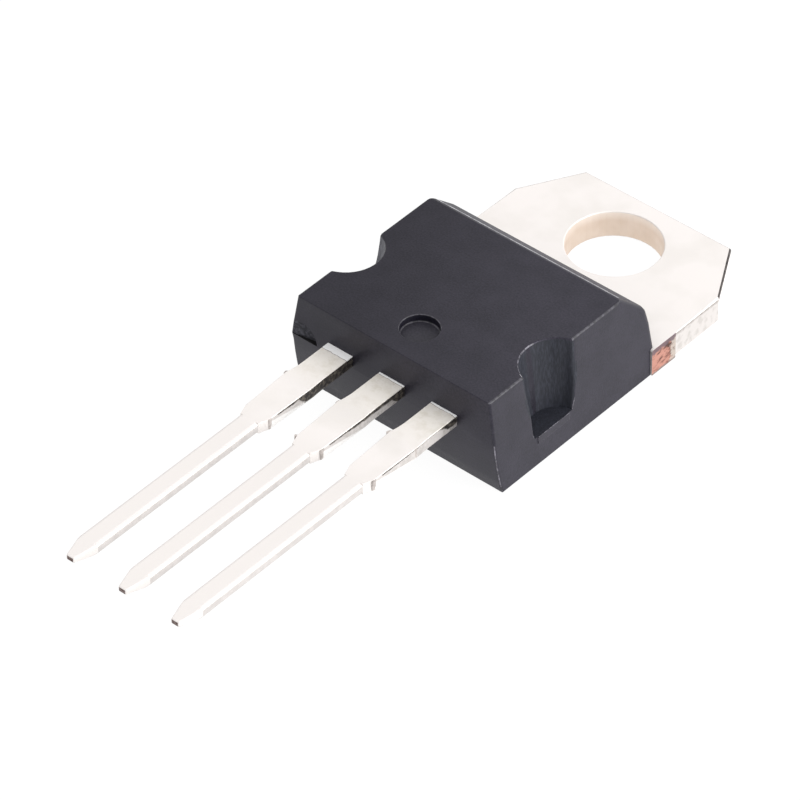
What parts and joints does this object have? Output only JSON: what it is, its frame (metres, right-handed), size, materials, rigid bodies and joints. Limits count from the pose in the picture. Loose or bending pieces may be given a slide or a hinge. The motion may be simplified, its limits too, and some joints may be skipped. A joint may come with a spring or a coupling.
{
  "type": "voltage regulator",
  "caption": "Fixed voltage regulator in a moulded epoxy body, with a drilled metal tab behind and straight tinned leads side by side in front.",
  "frame": {"origin": "centre of the screw hole on the metal back face", "axes": "+Z leaves the back face through the package, +Y runs to the end of the tab, the leads run to -Y, +X is across"},
  "size_m": [0.0102, 0.0301, 0.0044],
  "materials": {
    "epoxy": "fine matte moulding compound",
    "tinned_copper": "satin tin plating on copper, bare where cut",
    "silicon": "polished",
    "solder": "dull",
    "wire": "drawn"
  },
  "bodies": {
    "root": {"moulded_body": "epoxy", "tab_frame": "tinned_copper", "lead_left": "tinned_copper", "lead_right": "tinned_copper", "silicon_die": "silicon", "die_solder": "solder", "bond_wire_left": "wire", "bond_wire_right": "wire"}
  },
  "joints": []
}
